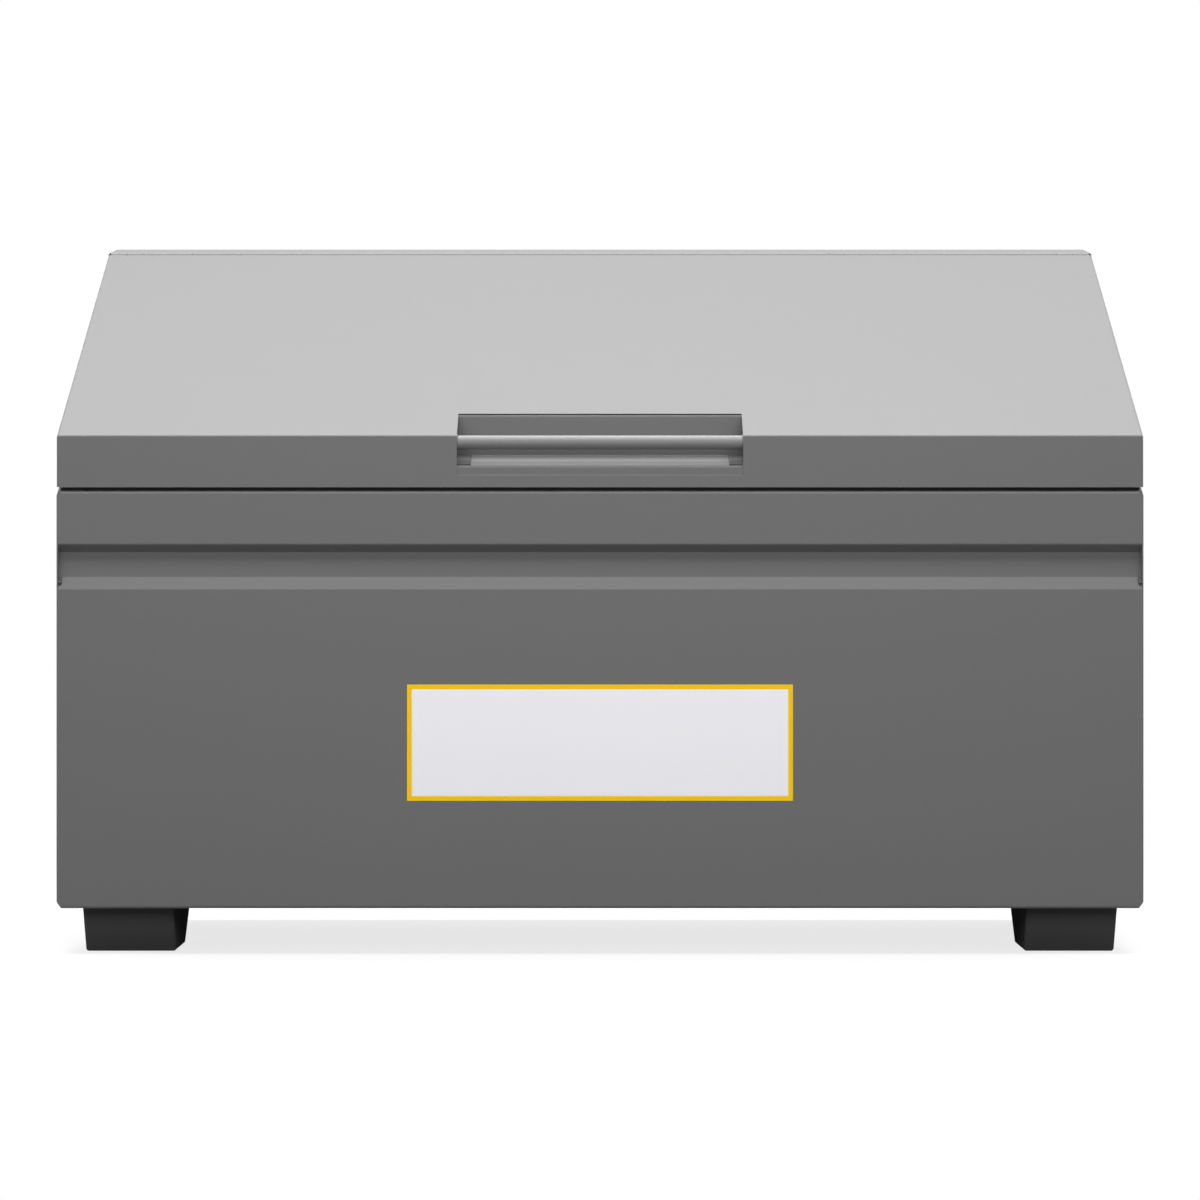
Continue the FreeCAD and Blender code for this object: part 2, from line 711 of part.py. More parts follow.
for y0, y1 in ((front_y, pocket_front_y + end_relief),
               (pocket_back_y - end_relief, pocket_back_y + 2 * sheet)):
    end_plate = end_plate.cut(block(0, pocket_half, y0, y1, 0, above))
keep("pocket_end_right", end_plate)
keep("pocket_end_left", mirrored(end_plate))

bar_y = front_y + handle_bar_setback
bar_z = front_height - handle_bar_drop
keep("handle_bar", rod(Vector(-pocket_half, bar_y, bar_z), Vector(pocket_half, bar_y, bar_z),
                       handle_bar_radius))

# ---------------------------------------------------------------- lid channels

long_half = side_x - lid_channel_end
channel_half = lid_channel_mouth / 2 + channel_lug
front_middle = pocket_depth / math.cos(pitch) + pocket_flange + channel_gap + channel_half
rear_middle = lid_length - lid_leaf_width - channel_gap - channel_half
for name, middle in (("lid_channel_front", front_middle), ("lid_channel_rear", rear_middle)):
    line = hat_section(middle, -sheet, lid_channel_base, lid_channel_mouth,
                       lid_channel_height, True)
    keep(name, on_slope(bent_sheet(line, "YZ", -long_half, long_half)))

cross_reach = channel_half + channel_gap
cross_line = hat_section(cross_channel_offset, -sheet, lid_channel_base, lid_channel_mouth,
                         lid_channel_height, True)
cross = on_slope(bent_sheet(cross_line, "XZ", front_middle + cross_reach,
                            rear_middle - cross_reach))
keep("lid_channel_right", cross)
keep("lid_channel_left", mirrored(cross))

# ---------------------------------------------------------------- weather seal

seal_thickness = lip_w - rim_w - seal_clearance
seal_outer = side_x - seal_inset
seal_front_u = rim_w * math.tan(pitch) + sheet + seal_inset
seal_loop = block(-seal_outer, seal_outer, seal_front_u, lid_length + lid_flange,
                  rim_w, rim_w + seal_thickness)
seal_hole = block(-seal_outer + seal_width, seal_outer - seal_width, seal_front_u + seal_width,
                  2 * lid_length, rim_w - margin, rim_w + 2 * seal_thickness)
keep("weather_seal", on_slope(seal_loop.cut(seal_hole)).common(lid_span))

# ---------------------------------------------------------------- lock recesses, lugs and eyes

recess_x = side_x - recess_depth
recess_box = prism(recess_outline(fit_gap), "YZ", recess_x, side_x)
recess_room = prism(recess_outline(sheet + fit_gap), "YZ", recess_x + sheet, side_x + margin)
recess = recess_box.cut(recess_room).cut(lug_slot)
keep("lock_recess_right", recess)
keep("lock_recess_left", mirrored(recess))

recess_top_w = rim_w - recess_drop - fit_gap
eye_top_w = recess_top_w - sheet
lug_low_w = recess_top_w - lug_reach
hole_w = recess_top_w - shackle_drop
lug_middle_u = (lug_u0 + lug_u1) / 2


def shackle_plate(x0, x1, top_w):
    """Plate with a rounded lower end and the padlock's hole, hanging from top_w."""
    plate = block(x0, x1, lug_u0, lug_u1, lug_low_w, top_w)
    corners = [e for e in plate.Edges
               if e.BoundBox.ZMax < lug_low_w + same_place and e.BoundBox.YLength < same_place]
    plate = plate.makeFillet(lug_corner, corners)
    hole = rod(Vector(x0 - margin, lug_middle_u, hole_w), Vector(x1 + margin, lug_middle_u, hole_w),
               shackle_radius)
    return plate.cut(hole)


lug_web = shackle_plate(lug_inner_x, lug_outer_x, -sheet)
lug_base = block(lug_inner_x - lug_foot, lug_inner_x, lug_u0, lug_u1, -sheet - lug_thickness, -sheet)
lug = on_slope(joined([lug_web, lug_base]))
keep("lock_lug_right", lug)
keep("lock_lug_left", mirrored(lug))

eye_x1 = lug_inner_x - eye_gap
eye = on_slope(shackle_plate(eye_x1 - lug_thickness, eye_x1, eye_top_w))
keep("lock_eye_right", eye)
keep("lock_eye_left", mirrored(eye))

# ---------------------------------------------------------------- gas springs

strut_x = side_x - strut_inset
lower_pivot = Vector(strut_x, axis_y - strut_body_reach, axis_z - strut_body_drop)
upper_w = -hinge_sink - strut_lid_drop
upper_y, upper_z = slope(lid_length - strut_lid_reach, upper_w)
upper_pivot = Vector(strut_x, upper_y, upper_z)
strut_axis = (upper_pivot - lower_pivot).normalize()
stem_reach = socket_radius + socket_neck
web_x = strut_x + stud_collar_gap + stud_hex_length

hex_points = [(stud_hex * math.cos(math.radians(a)), stud_hex * math.sin(math.radians(a)))
              for a in range(30, 390, 60)]


def hexagon(centre, x0, x1):
    """Hexagonal collar along X around a pivot."""
    points = [(centre.y + a, centre.z + b) for a, b in hex_points]
    return prism(points, "YZ", x0, x1)


def ball_stud(centre, collar_x, tip_x):
    """Turned ball and neck on a hexagonal collar, with a shank on to tip_x if that is further."""
    neck_x = math.sqrt(ball_radius ** 2 - ball_neck ** 2)
    neck_end = collar_x - stud_hex_length / 2 - centre.x
    pole = centre - Vector(ball_radius, 0, 0)
    crown = centre + Vector(0, 0, ball_radius)
    root = centre + Vector(neck_x, 0, ball_neck)
    tip = centre + Vector(neck_end, 0, ball_neck)
    end = centre + Vector(neck_end, 0, 0)
    outline = [Part.Arc(pole, crown, root).toShape(), Part.LineSegment(root, tip).toShape(),
               Part.LineSegment(tip, end).toShape(), Part.LineSegment(end, pole).toShape()]
    ball = Part.Face(Part.Wire(outline)).revolve(centre, Vector(1, 0, 0), 360)
    pieces = [ball, hexagon(centre, collar_x - stud_hex_length, collar_x)]
    if tip_x > collar_x:
        pieces.append(rod(Vector(collar_x, centre.y, centre.z), Vector(tip_x, centre.y, centre.z),
                          stud_shank))
    return joined(pieces)


def socket(centre, direction):
    """End fitting: a round body across the spring with a pocket for the ball, and a stem."""
    body = rod(centre - Vector(socket_depth, 0, 0), centre + Vector(socket_mouth, 0, 0),
               socket_radius)
    stem = rod(centre, centre + direction * stem_reach, socket_stem)
    room = rod(centre - Vector(ball_radius + ball_clearance, 0, 0),
               centre + Vector(socket_mouth + margin, 0, 0), ball_radius + ball_clearance)
    return joined([body, stem]).cut(room)


# lower end: the rod points down to the body, upper end: the tube hangs from the lid
tube_top = upper_pivot - strut_axis * stem_reach
tube_low = tube_top - strut_axis * strut_tube_length
rod_low = lower_pivot + strut_axis * stem_reach
rod_high = tube_top - strut_axis * strut_end_room
gas_rod = rod(rod_low, rod_high, strut_rod_radius)
tube = rod(tube_low, tube_top, strut_tube_radius)
tube_end = tube_top - strut_axis * strut_wall
tube_room = rod(tube_low + strut_axis * strut_guide_length, tube_end,
                strut_tube_radius - strut_wall)
tube_guide = rod(tube_low - strut_axis * margin, tube_end, strut_rod_radius + strut_guide_gap)
tube = tube.cut(tube_room).cut(tube_guide)

lower_socket = socket(lower_pivot, strut_axis)
upper_socket = socket(upper_pivot, strut_axis * -1)
stud_tip = web_x + bracket_sheet + nut_length + stud_over
lower_stud = ball_stud(lower_pivot, web_x, stud_tip)
upper_stud = ball_stud(upper_pivot, web_x - slide_gap, web_x - slide_gap)

# bracket on the back panel
low = lower_pivot.z - bracket_height / 2
high = lower_pivot.z + bracket_height / 2
wall_y = back_y - sheet
body_bracket = bent_sheet([(web_x + bracket_sheet, lower_pivot.y - bracket_margin),
                           (web_x + bracket_sheet, wall_y),
                           (web_x + bracket_sheet - bracket_leg, wall_y)],
                          "XY", low, high, thickness=bracket_sheet, hand=-1)
stud_hole = rod(Vector(web_x - margin, lower_pivot.y, lower_pivot.z),
                Vector(web_x + bracket_sheet + margin, lower_pivot.y, lower_pivot.z),
                stud_shank + stud_clearance)
body_bracket = body_bracket.cut(stud_hole)
lower_nut = hexagon(lower_pivot, web_x + bracket_sheet, web_x + bracket_sheet + nut_length)
lower_nut = lower_nut.cut(rod(Vector(web_x, lower_pivot.y, lower_pivot.z),
                              Vector(stud_tip + margin, lower_pivot.y, lower_pivot.z), stud_shank))

# bracket under the lid: a web beside the spring and a foot turned outwards under the skin
lid_bracket_half = bracket_height / 2
bracket_low_w = upper_w - bracket_margin
lid_bracket_line = [(web_x, bracket_low_w), (web_x, -sheet), (web_x + lid_bracket_leg, -sheet)]
lid_bracket = on_slope(bent_sheet(lid_bracket_line, "XZ",
                                  lid_length - strut_lid_reach - lid_bracket_half,
                                  lid_length - strut_lid_reach + lid_bracket_half,
                                  thickness=bracket_sheet))
upper_nut = hexagon(upper_pivot, web_x + bracket_sheet, web_x + bracket_sheet + nut_length)

for side, place in (("right", lambda s: s), ("left", mirrored)):
    keep("gas_spring_rod_" + side, place(gas_rod))
    keep("gas_spring_tube_" + side, place(tube))
    keep("rod_socket_" + side, place(lower_socket))
    keep("tube_socket_" + side, place(upper_socket))
    keep("tube_stud_" + side, place(upper_stud))
    keep("spring_bracket_body_" + side, place(body_bracket))
    keep("spring_bracket_lid_" + side, place(lid_bracket))
keep("lower_studs", lower_stud, mirrored(lower_stud))
keep("lower_nuts", lower_nut, mirrored(lower_nut))
keep("upper_nuts", upper_nut, mirrored(upper_nut))

# ---------------------------------------------------------------- side handles

bail_x = side_x + bail_standoff
bail_end = bail_half_width + bail_bend + bail_side_gap + knuckle_block_length
bail_line = [(-bail_end, 0.0), (-bail_half_width, 0.0), (-bail_half_width, -bail_drop),
             (bail_half_width, -bail_drop), (bail_half_width, 0.0), (bail_end, 0.0)]
bail_edges = []
for first, middle, last in rounded_line(bail_line, [bail_bend] * len(bail_line)):
    spots = [Vector(bail_x, p.x, handle_height + p.y) for p in (first, last)]
    if middle is None:
        bail_edges.append(Part.LineSegment(spots[0], spots[1]).toShape())
    else:
        centre = Vector(bail_x, middle.x, handle_height + middle.y)
        bail_edges.append(Part.Arc(spots[0], centre, spots[1]).toShape())
bail_path = Part.Wire(bail_edges)
bail_section = Part.Wire([Part.makeCircle(bail_radius, Vector(bail_x, -bail_end, handle_height),
                                          Vector(0, 1, 0))])
bail = bail_path.makePipeShell([bail_section], True, False)

grip_z = handle_height - bail_drop
grip = rod(Vector(bail_x, -grip_length / 2, grip_z), Vector(bail_x, grip_length / 2, grip_z),
           grip_radius)
grip = grip.cut(rod(Vector(bail_x, -grip_length, grip_z), Vector(bail_x, grip_length, grip_z),
                    bail_radius + bail_clearance))

plate_x = side_x + handle_plate_sheet
plate_top = handle_height + handle_plate_height / 2
plate_low = handle_height - handle_plate_height / 2
handle_plates = []
for middle in (-handle_half, handle_half):
    k0 = middle - knuckle_block_length / 2
    k1 = middle + knuckle_block_length / 2
    plate = block(side_x, plate_x, k0 - handle_plate_side, k1 + handle_plate_side,
                  plate_low, plate_top)
    across = [e for e in plate.Edges if e.BoundBox.XLength > handle_plate_sheet / 2]
    plate = plate.makeFillet(handle_plate_corner, across)
    eye_round = rod(Vector(bail_x, k0, handle_height), Vector(bail_x, k1, handle_height),
                    knuckle_block_radius)
    eye_root = block(side_x, bail_x, k0, k1, handle_height - knuckle_block_radius,
                     handle_height + knuckle_block_radius)
    plate = joined([plate, eye_round, eye_root])
    bore = rod(Vector(bail_x, k0 - margin, handle_height), Vector(bail_x, k1 + margin, handle_height),
               bail_radius + bail_clearance)
    plate = plate.cut(bore)
    for y, z in rivet_spots:
        hole = rod(Vector(side_x - margin, y, z), Vector(plate_x + margin, y, z),
                   rivet_radius + rivet_clearance)
        plate = plate.cut(hole)
    handle_plates.append(plate)

rivets = []
for y, z in rivet_spots:
    shank = rod(Vector(inner_x - rivet_head_height, y, z), Vector(plate_x, y, z), rivet_radius)
    head = rod(Vector(plate_x, y, z), Vector(plate_x + rivet_head_height, y, z),
               rivet_head_radius)
    rim_edges = [e for e in head.Edges if e.BoundBox.XMin > plate_x + rivet_head_height - same_place]
    head = head.makeFillet(rivet_crown, rim_edges)
    tail = rod(Vector(inner_x - rivet_head_height, y, z), Vector(inner_x, y, z),
               rivet_tail_radius)
    rivets.append(joined([shank, head, tail]))

keep("side_handle_right", bail)
keep("side_handle_left", mirrored(bail))
keep("side_grip_right", grip)
keep("side_grip_left", mirrored(grip))
keep("handle_mounts_right", *handle_plates)
keep("handle_mounts_left", *[mirrored(p) for p in handle_plates])
keep("handle_rivets", *(rivets + [mirrored(r) for r in rivets]))

# ---------------------------------------------------------------- label

label_half = label_length / 2
label_low = label_middle - label_height / 2
label_high = label_middle + label_height / 2
label_front = front_y - label_thickness
film = block(-label_half, label_half, label_front, front_y, label_low, label_high)
field = block(-label_half + label_band, label_half - label_band, label_front, front_y,
              label_low + label_band, label_high - label_band)
keep("label_field", field)
keep("label_border", film.cut(field))

# ---------------------------------------------------------------- export

for name, shape in nodes.items():
    shape.exportStep("parts/" + name + ".step")
    sound = shape.isValid() and all(s.isClosed() for s in shape.Solids)
    print(name, len(shape.Solids), "sound" if sound else "BROKEN", round(shape.Volume / 1000, 2))
print("nodes", len(nodes))

# spring geometry: how the springs' turn and reach follow the lid
open_angle = math.radians(lid_open_angle)
dy = upper_pivot.y - axis_y
dz = upper_pivot.z - axis_z
open_y = axis_y + dy * math.cos(open_angle) + dz * math.sin(open_angle)
open_z = axis_z - dy * math.sin(open_angle) + dz * math.cos(open_angle)
shut_length = (upper_pivot - lower_pivot).Length
open_length = math.hypot(open_y - lower_pivot.y, open_z - lower_pivot.z)
shut_lean = math.atan2(upper_pivot.z - lower_pivot.z, upper_pivot.y - lower_pivot.y)
open_lean = math.atan2(open_z - lower_pivot.z, open_y - lower_pivot.y)
print("hinge axis", axis_y, axis_z, "pitch", math.degrees(pitch), "lid", lid_length)
print("lower pivot", lower_pivot, "upper pivot", upper_pivot, "axis", strut_axis)
print("reach per radian", (open_length - shut_length) / open_angle,
      "turn per radian", (shut_lean - open_lean) / open_angle,
      "stroke", open_length - shut_length, "shut", shut_length)
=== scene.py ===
import bpy
import math
from mathutils import Matrix, Vector


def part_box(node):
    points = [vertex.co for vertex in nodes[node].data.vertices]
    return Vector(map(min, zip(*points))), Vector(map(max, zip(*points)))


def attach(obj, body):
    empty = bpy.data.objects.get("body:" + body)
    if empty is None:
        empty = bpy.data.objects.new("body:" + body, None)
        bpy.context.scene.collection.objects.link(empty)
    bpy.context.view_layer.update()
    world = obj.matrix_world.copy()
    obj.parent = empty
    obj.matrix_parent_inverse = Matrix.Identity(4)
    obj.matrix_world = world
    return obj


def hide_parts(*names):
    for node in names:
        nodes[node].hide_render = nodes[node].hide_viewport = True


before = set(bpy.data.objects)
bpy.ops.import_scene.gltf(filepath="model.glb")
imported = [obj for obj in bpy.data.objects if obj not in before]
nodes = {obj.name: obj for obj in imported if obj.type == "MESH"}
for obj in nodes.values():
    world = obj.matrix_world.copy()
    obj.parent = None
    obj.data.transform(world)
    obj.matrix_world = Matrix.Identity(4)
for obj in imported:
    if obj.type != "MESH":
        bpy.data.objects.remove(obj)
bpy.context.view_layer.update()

# ------------------------------------------------------------------ camera
# Square on to the front panel and level, below the lid's front edge, with a long lens about
# seven metres away. The view is shifted down a little, so the horizon lies above its middle.

view_rows = 1200.0
horizon_row = 590.0
camera_distance = 6.94       # lens to the front panel
camera_height = 0.5122
lens_length = 148.5          # millimetres, as is the sensor's width
sensor_width = 36.0
camera_reach = 60.0          # farthest that it sees

front_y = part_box("front_panel")[0][1]
bpy.ops.object.camera_add(location=(0.0, front_y - camera_distance, camera_height),
                          rotation=(math.pi / 2, 0.0, 0.0))
camera = bpy.context.object
camera.name = "front_camera"
camera.data.sensor_width = sensor_width
camera.data.lens = lens_length
camera.data.shift_y = (horizon_row - view_rows / 2) / view_rows
camera.data.clip_end = camera_reach
bpy.context.scene.camera = camera
bpy.context.scene.view_settings.view_transform = "Standard"

# ------------------------------------------------------------------ studio
# A pale floor carries the chest's shadow and fades to the white of the backdrop. Both are pale to
# the lens and in gloss, and dim to bounced light, as in a large dark studio. A low broad softbox
# lights the front and high ones the lid, with weaker ones round the other sides.

floor_reach = 9.0
floor_sides = 96
floor_fade_start = 0.9       # from the origin, where the floor starts to turn into the backdrop
floor_fade_end = 2.2
floor_tone = 0.90
floor_lift = 0.78            # share of the near floor that is plain white
floor_bounce = 0.10
backdrop_bounce = 0.10


def feed(tree, socket, value):
    """Give a socket a number, or link another socket to it."""
    if isinstance(value, float):
        socket.default_value = value
    else:
        tree.links.new(value, socket)


def number(tree, operation, first, second):
    """Result of a maths node on numbers or sockets."""
    node = tree.nodes.new("ShaderNodeMath")
    node.operation = operation
    feed(tree, node.inputs[0], first)
    feed(tree, node.inputs[1], second)
    return node.outputs[0]


def seen_directly(tree):
    """Factor that is 1 for camera, glossy and transmission rays, which show the studio itself."""
    path = tree.nodes.new("ShaderNodeLightPath")
    shown = number(tree, "MAXIMUM", path.outputs["Is Camera Ray"], path.outputs["Is Glossy Ray"])
    return number(tree, "MAXIMUM", shown, path.outputs["Is Transmission Ray"])


def mixed(tree, factor, first, second):
    """Mix of two shaders."""
    mix = tree.nodes.new("ShaderNodeMixShader")
    tree.links.new(factor, mix.inputs[0])
    tree.links.new(first, mix.inputs[1])
    tree.links.new(second, mix.inputs[2])
    return mix.outputs[0]


bpy.ops.object.select_all(action="DESELECT")
bpy.ops.mesh.primitive_circle_add(vertices=floor_sides, radius=floor_reach, fill_type="NGON")
floor = bpy.context.object
floor.name = "studio_floor"

floor_material = bpy.data.materials.new("studio_floor")
floor_material.use_nodes = True
tree = floor_material.node_tree
tree.nodes.clear()
place = tree.nodes.new("ShaderNodeTexCoord")
reach = tree.nodes.new("ShaderNodeVectorMath")
reach.operation = "LENGTH"
tree.links.new(place.outputs["Object"], reach.inputs[0])
fade = tree.nodes.new("ShaderNodeMapRange")
fade.interpolation_type = "SMOOTHSTEP"
fade.inputs["From Min"].default_value = floor_fade_start
fade.inputs["From Max"].default_value = floor_fade_end
fade.inputs["To Min"].default_value = floor_lift
tree.links.new(reach.outputs["Value"], fade.inputs["Value"])
near_floor = tree.nodes.new("ShaderNodeBsdfDiffuse")
near_floor.inputs["Color"].default_value = (floor_tone, floor_tone, floor_tone, 1.0)
far_floor = tree.nodes.new("ShaderNodeEmission")
bounced_floor = tree.nodes.new("ShaderNodeBsdfDiffuse")
bounced_floor.inputs["Color"].default_value = (floor_bounce, floor_bounce, floor_bounce, 1.0)
shown_floor = mixed(tree, fade.outputs["Result"], near_floor.outputs[0], far_floor.outputs[0])
out = tree.nodes.new("ShaderNodeOutputMaterial")
tree.links.new(mixed(tree, seen_directly(tree), bounced_floor.outputs[0], shown_floor),
               out.inputs["Surface"])
floor.data.materials.append(floor_material)

world = bpy.data.worlds.new("studio_backdrop")
bpy.context.scene.world = world
world.use_nodes = True
tree = world.node_tree
tree.nodes.clear()
white = tree.nodes.new("ShaderNodeBackground")
white.inputs["Strength"].default_value = 1.0
dim = tree.nodes.new("ShaderNodeBackground")
dim.inputs["Strength"].default_value = backdrop_bounce
for background in (white, dim):
    background.inputs["Color"].default_value = (1.0, 1.0, 1.0, 1.0)
out = tree.nodes.new("ShaderNodeOutputWorld")
tree.links.new(mixed(tree, seen_directly(tree), dim.outputs[0], white.outputs[0]),
               out.inputs["Surface"])


def softbox(name, aim, azimuth, elevation, distance, wide, high, watts):
    """Rectangular area lamp turned to a point, from an azimuth off the front and an elevation."""
    turn = math.radians(azimuth)
    rise = math.radians(elevation)
    towards = Vector((math.sin(turn) * math.cos(rise), -math.cos(turn) * math.cos(rise),
                      math.sin(rise)))
    place = aim + distance * towards
    bpy.ops.object.light_add(type="AREA", location=place)
    lamp = bpy.context.object
    lamp.name = name
    lamp.data.shape = "RECTANGLE"
    lamp.data.size = wide
    lamp.data.size_y = high
    lamp.data.energy = watts
    lamp.rotation_euler = (aim - place).to_track_quat("-Z", "Y").to_euler()


front_middle = Vector((0.0, front_y, 0.6))
lid_middle = Vector((0.0, -0.15, 0.81))
rear_middle = Vector((0.0, -front_y, 0.6))
softbox("low_softbox", front_middle, azimuth=0.0, elevation=12.0, distance=3.4, wide=4.6,
        high=1.0, watts=50.0)
softbox("key_softbox", front_middle, azimuth=0.0, elevation=63.0, distance=3.8, wide=4.6,
        high=1.2, watts=168.0)
softbox("overhead_softbox", lid_middle, azimuth=0.0, elevation=106.0, distance=3.4, wide=4.6,
        high=1.4, watts=226.0)
softbox("high_rear_softbox", lid_middle, azimuth=0.0, elevation=125.0, distance=3.4, wide=4.6,
        high=1.6, watts=36.0)
softbox("left_fill", rear_middle, azimuth=-90.0, elevation=14.0, distance=3.6, wide=1.6,
        high=1.4, watts=42.0)
softbox("right_fill", rear_middle, azimuth=90.0, elevation=14.0, distance=3.6, wide=1.6,
        high=1.4, watts=42.0)
softbox("rear_fill", rear_middle, azimuth=180.0, elevation=14.0, distance=3.6, wide=4.6,
        high=1.2, watts=75.0)

# ------------------------------------------------------------------ body sheets
# Front, sides, back, floor and their angles and channels are folded from sheet steel and spot
# welded together. All of it is finished in one coat of mid grey powder paint with a fine grain.

paint_colour = (0.130, 0.130, 0.130)
paint_roughness = 0.50
paint_roughness_drift = 0.10
paint_gloss = 0.30
paint_grain = 0.0022         # width of one grain of the coat
paint_grain_contrast = 0.10
paint_drift_contrast = 0.05
paint_grain_depth = 0.00012
grain_detail = 3.0
grain_raggedness = 0.6
drift_scale = 2.3            # swells of tone in a metre


def new_group(name, inputs, outputs):
    """Shader node group with named inputs and outputs, and its two end nodes."""
    group = bpy.data.node_groups.new(name, "ShaderNodeTree")
    for side, sockets in (("INPUT", inputs), ("OUTPUT", outputs)):
        for label, kind in sockets:
            group.interface.new_socket(label, in_out=side, socket_type="NodeSocket" + kind)
    return group, group.nodes.new("NodeGroupInput"), group.nodes.new("NodeGroupOutput")


def noise(tree, vector, scale, detail=2.0, roughness=0.5):
    """Noise on a place, with its scale a number or a socket."""
    node = tree.nodes.new("ShaderNodeTexNoise")
    node.inputs["Detail"].default_value = detail
    node.inputs["Roughness"].default_value = roughness
    tree.links.new(vector, node.inputs["Vector"])
    feed(tree, node.inputs["Scale"], scale)
    return node.outputs["Fac"]


def tinted(tree, colour, gain):
    """Colour multiplied by a number."""
    node = tree.nodes.new("ShaderNodeVectorMath")
    node.operation = "SCALE"
    tree.links.new(colour, node.inputs[0])
    tree.links.new(gain, node.inputs["Scale"])
    return node.outputs["Vector"]


# grained finish: a fine grain, a faint drift of tone over wide areas and a slightly uneven gloss
grained_finish, given, made = new_group(
    "grained_finish",
    [("Paint", "Color"), ("Grain Width", "Float"), ("Grain Contrast", "Float"),
     ("Drift Contrast", "Float"), ("Roughness", "Float"), ("Roughness Drift", "Float")],
    [("Colour", "Color"), ("Roughness", "Float"), ("Height", "Float")])
where = grained_finish.nodes.new("ShaderNodeTexCoord").outputs["Object"]
grain_scale = number(grained_finish, "DIVIDE", 1.0, given.outputs["Grain Width"])
grain = noise(grained_finish, where, grain_scale, grain_detail, grain_raggedness)
drift = noise(grained_finish, where, drift_scale)
grain_side = number(grained_finish, "SUBTRACT", grain, 0.5)
drift_side = number(grained_finish, "SUBTRACT", drift, 0.5)
grain_gain = number(grained_finish, "MULTIPLY", grain_side, given.outputs["Grain Contrast"])
drift_gain = number(grained_finish, "MULTIPLY", drift_side, given.outputs["Drift Contrast"])
gain = number(grained_finish, "ADD", number(grained_finish, "ADD", grain_gain, drift_gain), 1.0)
coloured = tinted(grained_finish, given.outputs["Paint"], gain)
grained_finish.links.new(coloured, made.inputs["Colour"])
gloss_shift = number(grained_finish, "MULTIPLY", drift_side, given.outputs["Roughness Drift"])
roughened = number(grained_finish, "ADD", given.outputs["Roughness"], gloss_shift)
grained_finish.links.new(roughened, made.inputs["Roughness"])
grained_finish.links.new(grain, made.inputs["Height"])


def grained_material(name, colour, roughness, gloss, metal=0.0, grain_width=paint_grain,
                     grain_contrast=paint_grain_contrast, drift_contrast=paint_drift_contrast,
                     roughness_drift=paint_roughness_drift, grain_depth=paint_grain_depth):
    """Material in the grained finish, with the body paint's grain where none is given."""
    material = bpy.data.materials.new(name)
    material.use_nodes = True
    tree = material.node_tree
    shader = tree.nodes["Principled BSDF"]
    coat = tree.nodes.new("ShaderNodeGroup")
    coat.node_tree = grained_finish
    values = {"Paint": (*colour, 1.0), "Grain Width": grain_width,
              "Grain Contrast": grain_contrast, "Drift Contrast": drift_contrast,
              "Roughness": roughness, "Roughness Drift": roughness_drift}
    for label, value in values.items():
        coat.inputs[label].default_value = value
    tree.links.new(coat.outputs["Colour"], shader.inputs["Base Color"])
    tree.links.new(coat.outputs["Roughness"], shader.inputs["Roughness"])
    shader.inputs["Specular IOR Level"].default_value = gloss
    shader.inputs["Metallic"].default_value = metal
    bump = tree.nodes.new("ShaderNodeBump")
    bump.inputs["Distance"].default_value = grain_depth
    tree.links.new(coat.outputs["Height"], bump.inputs["Height"])
    tree.links.new(bump.outputs["Normal"], shader.inputs["Normal"])
    return material


def dress(material, *names):
    """Give CAD nodes a finish."""
    for name in names:
        slots = nodes[name].data.materials
        slots.clear()
        slots.append(material)


grey_paint = grained_material("grey_paint", paint_colour, paint_roughness, paint_gloss)
dress(grey_paint, "front_panel", "side_panel_left", "side_panel_right", "back_panel",
      "rear_corner_caps", "ledge_channel", "corner_angles", "floor_panel", "floor_channels")

# ------------------------------------------------------------------ weld beads
# Short gas-metal-arc welds close the corners of the folded sheets and hold the feet. Each is a
# row of overlapping ripples of steel, laid in the corner and painted over with the rest.

ripple_pitch = 0.0022
ripple_length = 1.5          # of its pitch, so that the ripples overlap
ripple_segments = 10
ripple_rings = 6
crease = 0.6                 # edges that turn more than this many radians stay sharp
sides = (("left", -1.0), ("right", 1.0))    # with the sign of X


def finish_piece(piece, name, material, body, angle=crease):
    """Put a modelled piece's place into its mesh, give it its finish, body and slot."""
    bpy.ops.object.select_all(action="DESELECT")
    piece.select_set(True)
    bpy.context.view_layer.objects.active = piece
    bpy.ops.object.transform_apply(location=True, rotation=True, scale=True)
    bpy.ops.object.shade_smooth_by_angle(angle=angle)
    piece.name = name
    piece.data.name = name
    piece.data.materials.clear()
    piece.data.materials.append(material)
    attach(piece, body)
    return piece


def repeat_along(piece, count, length):
    """Repeat a piece along its own X axis, evenly over a length."""
    row = piece.modifiers.new("row", "ARRAY")
    row.count = count
    row.use_relative_offset = False
    row.use_constant_offset = True
    row.constant_offset_displace = (length / (count - 1), 0.0, 0.0)
    bpy.ops.object.modifier_apply(modifier=row.name)


def weld_bead(name, start, end, width, body):
    """Straight weld from start to end: one ripple repeated along the line."""
    run = Vector(end) - Vector(start)
    bpy.ops.object.select_all(action="DESELECT")
    bpy.ops.mesh.primitive_uv_sphere_add(segments=ripple_segments, ring_count=ripple_rings,
                                         radius=width / 2)
    bead = bpy.context.object
    bead.scale = (ripple_length * ripple_pitch / width, 1.0, 1.0)
    bpy.ops.object.transform_apply(location=False, rotation=False, scale=True)
    repeat_along(bead, max(2, round(run.length / ripple_pitch)), run.length)
    bead.location = start
    bead.rotation_euler = run.to_track_quat("X", "Z").to_euler()
    finish_piece(bead, name, grey_paint, body, math.pi)


